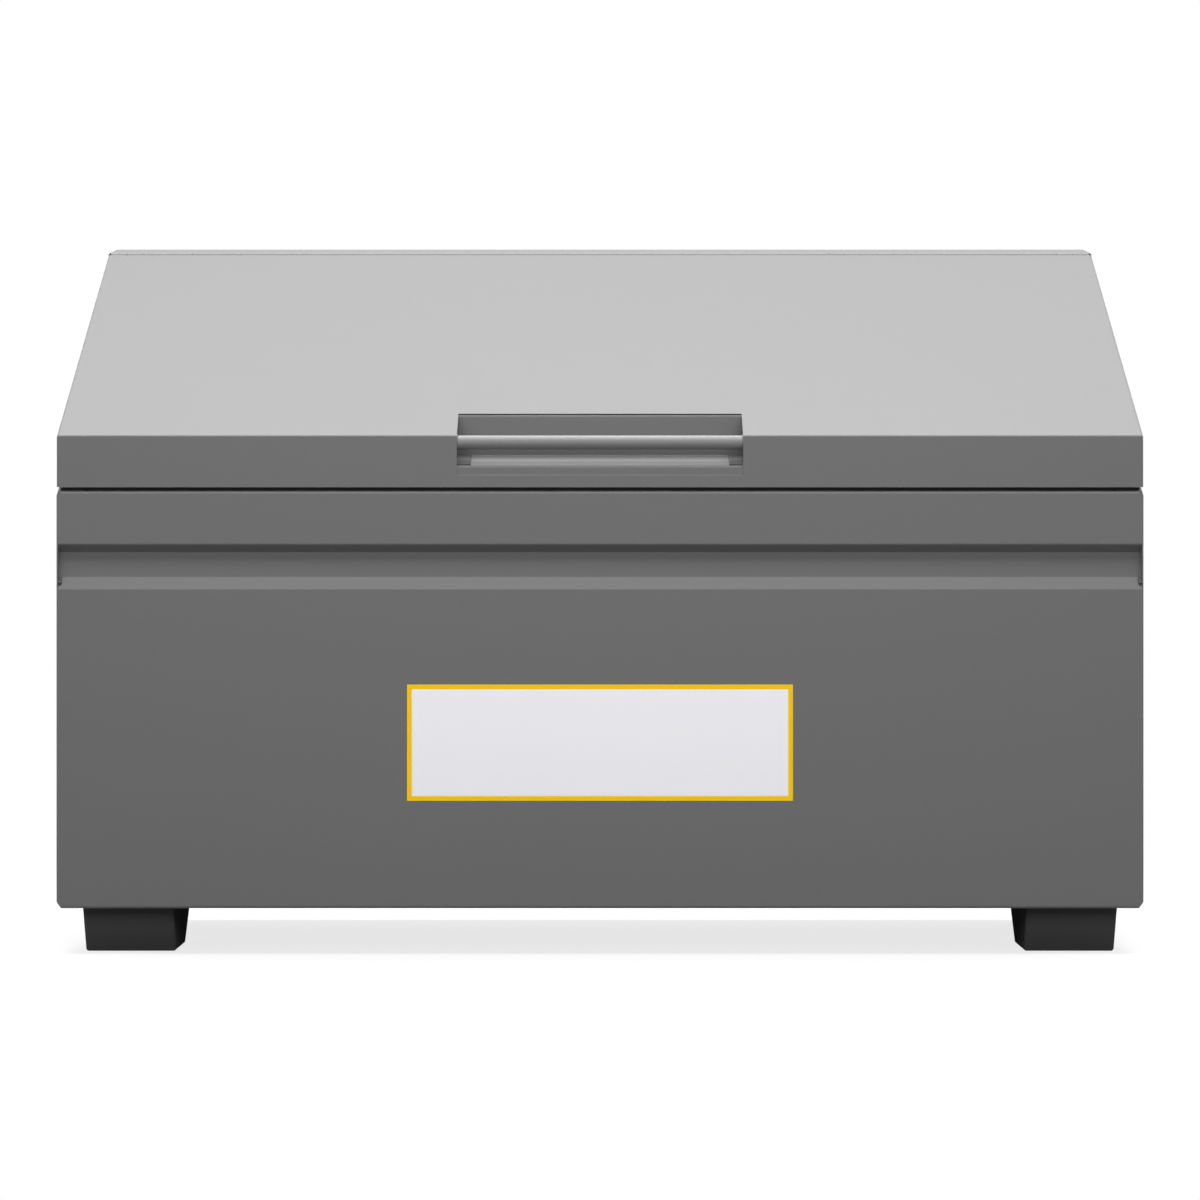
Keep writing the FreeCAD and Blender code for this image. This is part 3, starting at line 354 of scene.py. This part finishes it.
# the ends of the pressed groove are closed against the side panels with a short weld each
groove_weld_low = 0.5225     # over the floor, on the groove's slanting lower face
groove_weld_high = 0.5300
groove_weld_near = 0.0040    # front face to the weld's lower end
groove_weld_deep = 0.0090    # front face to the weld's upper end
groove_weld_width = 0.0064
groove_weld_inset = 0.3      # of its width, from the side panel to the weld's middle
side_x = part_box("side_panel_right")[1][0]
sheet = side_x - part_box("front_panel")[1][0]
for side, turn in sides:
    x = turn * (side_x - sheet - groove_weld_width * groove_weld_inset)
    weld_bead("groove_weld_" + side, (x, front_y + groove_weld_near, groove_weld_low),
              (x, front_y + groove_weld_deep, groove_weld_high), groove_weld_width, "box")

# ------------------------------------------------------------------ feet
# Four skids pressed from thicker plate, open on top and welded under the floor along their upper
# edges. They are painted with the body, and the coat lies duller in the pressed corners.

foot_weld_width = 0.004
foot_weld_margin = 0.03      # foot's end to the weld's
foot_weld_drop = 0.0004      # foot's upper edge to the weld's middle

foot_paint = grained_material("foot_paint", paint_colour, roughness=0.62, gloss=0.0)
for end in ("front", "rear"):
    for side, turn in sides:
        foot = "foot_" + end + "_" + side
        dress(foot_paint, foot)
        low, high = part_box(foot)
        near, far = sorted((abs(low[0]), abs(high[0])))
        weld_z = high[2] - foot_weld_drop
        for edge, x in (("inner", turn * near), ("outer", turn * far)):
            weld_bead(foot + "_weld_" + edge, (x, low[1] + foot_weld_margin, weld_z),
                      (x, high[1] - foot_weld_margin, weld_z), foot_weld_width, "box")

# ------------------------------------------------------------------ lid
# The lid's skin is one sheet folded down at the front and sides, with hat channels spot welded
# under it. Each spot weld shows as a small round dimple with a raised rim.

lid_flange = 0.0728          # height of its front flange
hinge_sink = 0.0026          # lid's face down to the hinge axis
spot_radius = 0.0034
spot_rise = 0.0004           # rim over the sheet
spot_dip = 0.00032           # rim down to the bottom of the dimple
spot_rim = 0.00102           # width of the rim
spot_taper = 0.8             # top of the rim, of its foot
spot_corners = 12
spot_crease = 0.4
spot_pitch = 0.055
spot_margin = 0.025          # channel's end to its first spot
channel_lug = 0.016          # width of a channel's weld flanges

dress(grey_paint, "lid_skin", "lid_channel_front", "lid_channel_rear", "lid_channel_left",
      "lid_channel_right")


def box_corners(name):
    """Lowest and highest corners of a CAD node."""
    return [Vector(corner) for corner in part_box(name)]


lid_edge = Vector((0.0, front_y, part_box("lid_skin")[0][2] + lid_flange))
pin_low, pin_high = box_corners("hinge_pin")
lid_reach = (pin_low + pin_high) / 2 - lid_edge
lid_pitch = math.atan2(lid_reach.z, lid_reach.y) + math.asin(hinge_sink / lid_reach.length)
lid_turn = Matrix.Rotation(lid_pitch, 3, "X")


def on_lid(x, along, over):
    """World place of a point along the lid's face from its front edge, and over it."""
    return lid_edge + lid_turn @ Vector((x, along, over))


def lid_box(name):
    """Lowest and highest corners of a CAD node, measured along and square to the lid's face."""
    spots = [lid_turn.inverted() @ (corner.co - lid_edge) for corner in nodes[name].data.vertices]
    low = Vector([min(spot[axis] for spot in spots) for axis in range(3)])
    high = Vector([max(spot[axis] for spot in spots) for axis in range(3)])
    return low, high


def spot_row(name, first, last, up, body):
    """Row of spot welds from first to last on a flange whose outer side faces up."""
    run = last - first
    bpy.ops.object.select_all(action="DESELECT")
    bpy.ops.mesh.primitive_circle_add(vertices=spot_corners, radius=spot_radius, fill_type="NGON")
    spot = bpy.context.object
    bpy.ops.object.mode_set(mode="EDIT")
    bpy.ops.mesh.extrude_region_move(TRANSFORM_OT_translate={"value": (0.0, 0.0, spot_rise)})
    bpy.ops.transform.resize(value=(spot_taper, spot_taper, 1.0))
    bpy.ops.mesh.inset(thickness=spot_rim, depth=-spot_dip)
    bpy.ops.object.mode_set(mode="OBJECT")
    repeat_along(spot, max(2, round(run.length / spot_pitch) + 1), run.length)
    along = run.normalized()
    turn = Matrix((along, up.cross(along), up)).transposed()
    spot.matrix_world = Matrix.Translation(first) @ turn.to_4x4()
    finish_piece(spot, name, grey_paint, body, spot_crease)


under_lid = lid_turn @ Vector((0.0, 0.0, -1.0))
for channel in ("front", "rear"):
    low, high = lid_box("lid_channel_" + channel)
    face = high.z - sheet
    for edge, along in (("fore", low.y + channel_lug / 2), ("aft", high.y - channel_lug / 2)):
        spot_row("lid_spots_" + channel + "_" + edge, on_lid(low.x + spot_margin, along, face),
                 on_lid(high.x - spot_margin, along, face), under_lid, "lid")
for channel in ("left", "right"):
    low, high = lid_box("lid_channel_" + channel)
    face = high.z - sheet
    for edge, x in (("low", low.x + channel_lug / 2), ("high", high.x - channel_lug / 2)):
        spot_row("lid_spots_" + channel + "_" + edge, on_lid(x, low.y + spot_margin, face),
                 on_lid(x, high.y - spot_margin, face), under_lid, "lid")

# ------------------------------------------------------------------ handle pocket
# A bent insert with end plates is let into the lid's front edge, and a round bar welded across its
# mouth is the handle. The cut-out's lower edge is dressed to a slope. A near-black strip over its
# rear edge's cut face is painted shade, and the end plates are painted darker, as painted shade in
# the pocket's ends.

pocket_cut_height = 0.6727   # floor to the lower edge of the cut-out
pocket_cut_reach = 0.08716   # front edge to the rear edge of the cut-out, along the lid's face
lip_depth = 0.0019           # slope on the lower edge
lip_height = 0.0014
lip_middle = (0.50, 0.62)    # shares of its depth and height at the slope's middle
lip_inset = 0.0002           # front face to the foot of the slope
lip_foot = 0.0001            # the slope's foot over the cut-out's edge
lip_root = 0.0004            # how far it reaches down into the flange
shade_strip_proud = 0.0003
shade_strip_sink = 0.0004         # lid's face to the top of the painted shade strip
shade_strip_width = 0.0012
bar_weld_radius = 0.0016
bar_weld_steps = 40
joined_ends = 0.000005       # where a ring closes, corners nearer than this are one

bar_paint = grained_material("bar_paint", paint_colour, roughness=0.56, gloss=0.75,
                             grain_contrast=0.08, roughness_drift=0.06, grain_depth=0.00004)
# The end plates' darker grey is painted shade, for the shade in the pocket's ends.
pocket_end_shade_paint = grained_material("pocket_end_painted_shade", (0.070, 0.070, 0.070), roughness=0.62, gloss=0.1)
# Near-black strip over the cut-out's rear cut face: painted shade where the lid's edge lies in
# shadow.
cut_edge_shade_paint = grained_material("cut_edge_painted_shade", (0.040, 0.040, 0.040), roughness=0.7, gloss=0.2,
                          grain_width=0.004, grain_contrast=0.3, drift_contrast=0.1,
                          grain_depth=0.0002)
dress(grey_paint, "handle_pocket")
dress(pocket_end_shade_paint, "pocket_end_left", "pocket_end_right")
dress(bar_paint, "handle_bar")


def ring_of(name, centre, axis, profile, steps, material, body, arc=math.tau):
    """Closed outline of (distance along the axis, radius) spun round the axis through centre."""
    bpy.ops.object.select_all(action="DESELECT")
    bpy.ops.mesh.primitive_circle_add(vertices=len(profile), radius=1.0)
    ring = bpy.context.object
    for corner, (along, radius) in zip(ring.data.vertices, profile):
        corner.co = (radius, 0.0, along)
    bpy.ops.object.mode_set(mode="EDIT")
    bpy.ops.mesh.select_all(action="SELECT")
    if arc < math.tau:
        bpy.ops.mesh.edge_face_add()
    bpy.ops.mesh.spin(steps=steps, angle=arc, center=(0.0, 0.0, 0.0), axis=(0.0, 0.0, 1.0))
    bpy.ops.mesh.select_all(action="SELECT")
    bpy.ops.mesh.remove_doubles(threshold=joined_ends)
    bpy.ops.mesh.normals_make_consistent(inside=False)
    bpy.ops.object.mode_set(mode="OBJECT")
    ring.location = centre
    ring.rotation_euler = Vector(axis).to_track_quat("Z", "X").to_euler()
    return finish_piece(ring, name, material, body)


def round_profile(radius, middle_along, middle_radius, corners=10):
    """Round section of a ring."""
    angles = [math.tau * corner / corners for corner in range(corners)]
    return [(middle_along + radius * math.sin(angle), middle_radius + radius * math.cos(angle))
            for angle in angles]


bar_low, bar_high = box_corners("handle_bar")
bar_middle = (bar_low + bar_high) / 2
bar_radius = (bar_high.z - bar_low.z) / 2
for side, x in (("left", bar_low.x), ("right", bar_high.x)):
    ring_of("bar_weld_" + side, Vector((x, bar_middle.y, bar_middle.z)), (1.0, 0.0, 0.0),
            round_profile(bar_weld_radius, 0.0, bar_radius), bar_weld_steps, grey_paint, "lid")


def long_strip(name, outline, material, body):
    """Strip across the pocket with the given outline of (y, z)."""
    bpy.ops.object.select_all(action="DESELECT")
    bpy.ops.mesh.primitive_circle_add(vertices=len(outline), radius=1.0, fill_type="NGON")
    strip = bpy.context.object
    for corner, (y, z) in zip(strip.data.vertices, outline):
        corner.co = (bar_low.x, y, z)
    bpy.ops.object.mode_set(mode="EDIT")
    bpy.ops.mesh.select_all(action="SELECT")
    bpy.ops.mesh.extrude_region_move(
        TRANSFORM_OT_translate={"value": (bar_high.x - bar_low.x, 0.0, 0.0)})
    bpy.ops.mesh.select_all(action="SELECT")
    bpy.ops.mesh.normals_make_consistent(inside=False)
    bpy.ops.object.mode_set(mode="OBJECT")
    finish_piece(strip, name, material, body)


lip_face = front_y + lip_inset
lip_back = front_y + lip_depth
lip_low = pocket_cut_height - lip_root
long_strip("pocket_lip",
           [(lip_face, lip_low), (lip_face, pocket_cut_height + lip_foot),
            (front_y + lip_depth * lip_middle[0], pocket_cut_height + lip_height * lip_middle[1]),
            (lip_back, pocket_cut_height + lip_height), (lip_back, lip_low)],
           grey_paint, "lid")
# The painted shade strip lies flush over the cut face of the cut-out's rear edge.
cut_edge_shade_outline = [on_lid(0.0, pocket_cut_reach + along, -shade_strip_sink - deep)
        for along, deep in ((-shade_strip_proud, sheet), (-shade_strip_proud, shade_strip_proud),
                            (0.0, 0.0), (shade_strip_width, 0.0), (shade_strip_width, sheet))]
long_strip("pocket_cut_edge_shade", [(point.y, point.z) for point in cut_edge_shade_outline], cut_edge_shade_paint, "lid")

# ------------------------------------------------------------------ hinge
# A piano hinge runs the whole width: two leaves of plate rolled into knuckles around one pin.
# Its grey is a little paler than the lid's, as painted light, so that its front-facing knuckles
# come out about as bright as the lid.

# Paler grey than the body paint: painted light on the knuckles.
hinge_lightened_paint = grained_material("hinge_lightened_paint", (0.155, 0.155, 0.155), paint_roughness, paint_gloss)
dress(hinge_lightened_paint, "hinge_leaf_body", "hinge_leaf_lid", "hinge_pin")

# ------------------------------------------------------------------ weather seal
# A strip of closed-cell foam rubber runs round the rim under the lid's lip. It is stuck to the
# rim and has a rounded top that the lid presses on.

seal_rounding = 0.0018
seal_rounding_steps = 3
same_place = 0.00001         # corners of the strip nearer than this are one
same_plane = 0.01            # radians
seal_top_facing = 0.9        # how squarely its top faces the lid

foam_rubber = grained_material("seal_rubber", (0.012, 0.012, 0.012), roughness=0.85, gloss=0.2,
                               grain_width=0.0016, grain_contrast=0.5, drift_contrast=0.1,
                               roughness_drift=0.08, grain_depth=0.0003)
bpy.ops.object.select_all(action="DESELECT")
foam = nodes["weather_seal"].copy()
foam.data = foam.data.copy()
foam.parent = None
bpy.context.collection.objects.link(foam)
foam.select_set(True)
bpy.context.view_layer.objects.active = foam
bpy.ops.object.mode_set(mode="EDIT")
bpy.ops.mesh.select_all(action="SELECT")
bpy.ops.mesh.remove_doubles(threshold=same_place)
bpy.ops.mesh.dissolve_limited(angle_limit=same_plane)
bpy.ops.mesh.select_mode(type="FACE")
bpy.ops.mesh.select_all(action="DESELECT")
bpy.ops.object.mode_set(mode="OBJECT")
for face in foam.data.polygons:
    face.select = face.normal.dot(under_lid) < -seal_top_facing
bpy.ops.object.mode_set(mode="EDIT")
bpy.ops.mesh.region_to_loop()
bpy.ops.mesh.bevel(offset=seal_rounding, segments=seal_rounding_steps, affect="EDGES")
bpy.ops.object.mode_set(mode="OBJECT")
finish_piece(foam, "foam_strip", foam_rubber, "box")
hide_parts("weather_seal")

# ------------------------------------------------------------------ locks
# Each end has a recess for a padlock, with a plate eye welded under the rim and a plate lug on
# the lid that drops in beside it. Eye and lug are zinc plated, and their welds are painted.

lock_weld_width = 0.0036
lock_weld_margin = 0.004     # plate's end to the weld's

zinc_plate = grained_material("zinc_plate", (0.50, 0.51, 0.52), roughness=0.40, gloss=0.5,
                              metal=1.0, grain_width=0.004, drift_contrast=0.10,
                              roughness_drift=0.16, grain_depth=0.00002)
dress(grey_paint, "lock_recess_left", "lock_recess_right")
dress(zinc_plate, "lock_lug_left", "lock_lug_right", "lock_eye_left", "lock_eye_right")
for side, turn in sides:
    for plate, body in (("eye", "box"), ("lug", "lid")):
        low, high = lid_box("lock_" + plate + "_" + side)
        x = turn * min(abs(low.x), abs(high.x))
        weld_bead("lock_" + plate + "_weld_" + side, on_lid(x, low.y + lock_weld_margin, high.z),
                  on_lid(x, high.y - lock_weld_margin, high.z), lock_weld_width, body)

# ------------------------------------------------------------------ gas springs
# Two gas springs hold the lid open: a black enamelled tube, a ground rod and moulded end sockets
# on ball studs. Their brackets are painted, and the studs and nuts are zinc plated.

tube_enamel = grained_material("spring_enamel", (0.012, 0.012, 0.013), roughness=0.22, gloss=0.5,
                               grain_width=0.006, drift_contrast=0.1, roughness_drift=0.06,
                               grain_depth=0.00002)
ground_rod = grained_material("ground_rod", (0.72, 0.73, 0.75), roughness=0.16, gloss=0.5,
                              metal=1.0, grain_width=0.001, grain_contrast=0.06,
                              drift_contrast=0.04, roughness_drift=0.05, grain_depth=0.000004)
socket_moulding = grained_material("socket_moulding", (0.02, 0.02, 0.022), roughness=0.55,
                                   gloss=0.4, grain_width=0.0012, grain_contrast=0.2,
                                   drift_contrast=0.1, grain_depth=0.00005)
for side in ("left", "right"):
    dress(tube_enamel, "gas_spring_tube_" + side)
    dress(ground_rod, "gas_spring_rod_" + side)
    dress(socket_moulding, "rod_socket_" + side, "tube_socket_" + side)
    dress(zinc_plate, "tube_stud_" + side)
    dress(grey_paint, "spring_bracket_body_" + side, "spring_bracket_lid_" + side)
dress(zinc_plate, "lower_studs", "lower_nuts", "upper_nuts")

bracket_weld_width = 0.0036
bracket_weld_margin = 0.006
for side, turn in sides:
    low, high = box_corners("spring_bracket_body_" + side)
    x = turn * min(abs(low.x), abs(high.x))
    weld_bead("bracket_weld_body_" + side, (x, high.y, low.z + bracket_weld_margin),
              (x, high.y, high.z - bracket_weld_margin), bracket_weld_width, "box")
    low, high = lid_box("spring_bracket_lid_" + side)
    x = turn * max(abs(low.x), abs(high.x))
    weld_bead("bracket_weld_lid_" + side, on_lid(x, low.y + bracket_weld_margin, high.z),
              on_lid(x, high.y - bracket_weld_margin, high.z), bracket_weld_width, "lid")

rolled_end_radius = 0.0011   # roll over the tube's open end
rolled_end_inset = 0.0006    # tube's outside to the middle of the roll
spring_ring_steps = 32
wiper_reach = 0.0016         # wiper's lip beyond the tube
wiper_shoulder = 0.4         # of its reach, where it starts to slope
wiper_root = 0.0005          # wiper's inner end, inside the tube
wiper_radius = 0.0078
wiper_taper = 0.0002
wiper_lip = 0.0012           # width of the lip round the rod
wiper_gap = 0.00008          # rod to the wiper
clip_wire = 0.0006
clip_wire_corners = 6
clip_radius = 0.0083
clip_arc = math.radians(300.0)
clip_steps = 30
for side in ("left", "right"):
    lower_low, lower_high = box_corners("lower_studs")
    upper_low, upper_high = box_corners("tube_stud_" + side)
    rod_low, rod_high = box_corners("gas_spring_rod_" + side)
    tube_low, tube_high = box_corners("gas_spring_tube_" + side)
    spring_x = (rod_low.x + rod_high.x) / 2
    tube_radius = (tube_high.x - tube_low.x) / 2
    rod_radius = (rod_high.x - rod_low.x) / 2
    lower_end = (lower_low + lower_high) / 2
    upper_end = (upper_low + upper_high) / 2
    lower_end.x = upper_end.x = spring_x
    up_spring = (upper_end - lower_end).normalized()
    tube_mouth = max((corner.co - upper_end).dot(-up_spring)
                     for corner in nodes["gas_spring_tube_" + side].data.vertices)
    mouth = upper_end - up_spring * tube_mouth
    ring_of("tube_rolled_end_" + side, mouth, up_spring,
            round_profile(rolled_end_radius, rolled_end_radius, tube_radius - rolled_end_inset),
            spring_ring_steps, tube_enamel, "spring_tube_" + side)
    ring_of("rod_wiper_" + side, mouth, up_spring,
            [(wiper_root, rod_radius + wiper_gap), (wiper_root, wiper_radius),
             (-wiper_reach * wiper_shoulder, wiper_radius - wiper_taper),
             (-wiper_reach, rod_radius + wiper_lip), (-wiper_reach, rod_radius + wiper_gap)],
            spring_ring_steps, socket_moulding, "spring_tube_" + side)
    for end, pivot, body in (("lower", lower_end, "spring_rod_"),
                             ("upper", upper_end, "spring_tube_")):
        ring_of("socket_clip_" + end + "_" + side, pivot, (1.0, 0.0, 0.0),
                round_profile(clip_wire, 0.0, clip_radius, clip_wire_corners), clip_steps,
                zinc_plate, body + side, clip_arc)

# ------------------------------------------------------------------ side handles
# A drop handle hangs on each side: a bent round bar in two riveted plates with knuckles, and a
# ribbed rubber grip over its middle. The metal is zinc plated.

rib_count = 14
rib_share = 0.55             # of its pitch that a rib takes
rib_depth = 0.0014
grip_collar = 0.006          # plain collar at each end
grip_bore = 0.0051
grip_edge = 0.0012           # slope on its ends
grip_steps = 40

grip_rubber = grained_material("grip_rubber", (0.018, 0.018, 0.019), roughness=0.68, gloss=0.35,
                               grain_width=0.0008, grain_contrast=0.3, drift_contrast=0.1,
                               roughness_drift=0.08, grain_depth=0.00006)
dress(zinc_plate, "handle_rivets")
for side in ("left", "right"):
    dress(zinc_plate, "side_handle_" + side, "handle_mounts_" + side)
    low, high = box_corners("side_grip_" + side)
    length = high.y - low.y
    radius = (high.z - low.z) / 2
    rib_pitch = (length - 2 * grip_collar) / rib_count
    gap = rib_pitch * (1.0 - rib_share)
    slant = gap / 4
    outline = [(0.0, grip_bore), (0.0, radius - grip_edge), (grip_edge, radius),
               (grip_collar - slant, radius)]
    for rib in range(rib_count):
        start = grip_collar + rib * rib_pitch
        outline += [(start, radius - rib_depth), (start + gap - 2 * slant, radius - rib_depth),
                    (start + gap - slant, radius), (start + rib_pitch - slant, radius)]
    outline += [(length - grip_collar, radius), (length - grip_edge, radius),
                (length, radius - grip_edge), (length, grip_bore)]
    middle = (low + high) / 2
    grip = ring_of("ribbed_grip_" + side, Vector((middle.x, low.y, middle.z)), (0.0, 1.0, 0.0),
                   outline, grip_steps, grip_rubber, "side_handle_" + side)
    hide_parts("side_grip_" + side)

# ------------------------------------------------------------------ label
# A film label with nothing written on it is stuck on the front panel: a pale satin field inside
# an amber border.

film_grain = {"grain_width": 0.0016, "roughness_drift": 0.05, "grain_depth": 0.00002}
field_film = grained_material("label_field", (0.93, 0.92, 0.955), roughness=0.42, gloss=0.35,
                              grain_contrast=0.03, drift_contrast=0.02, **film_grain)
border_film = grained_material("label_border", (1.0, 0.62, 0.002), roughness=0.50, gloss=0.10,
                               grain_contrast=0.05, drift_contrast=0.03, **film_grain)
dress(field_film, "label_field")
dress(border_film, "label_border")
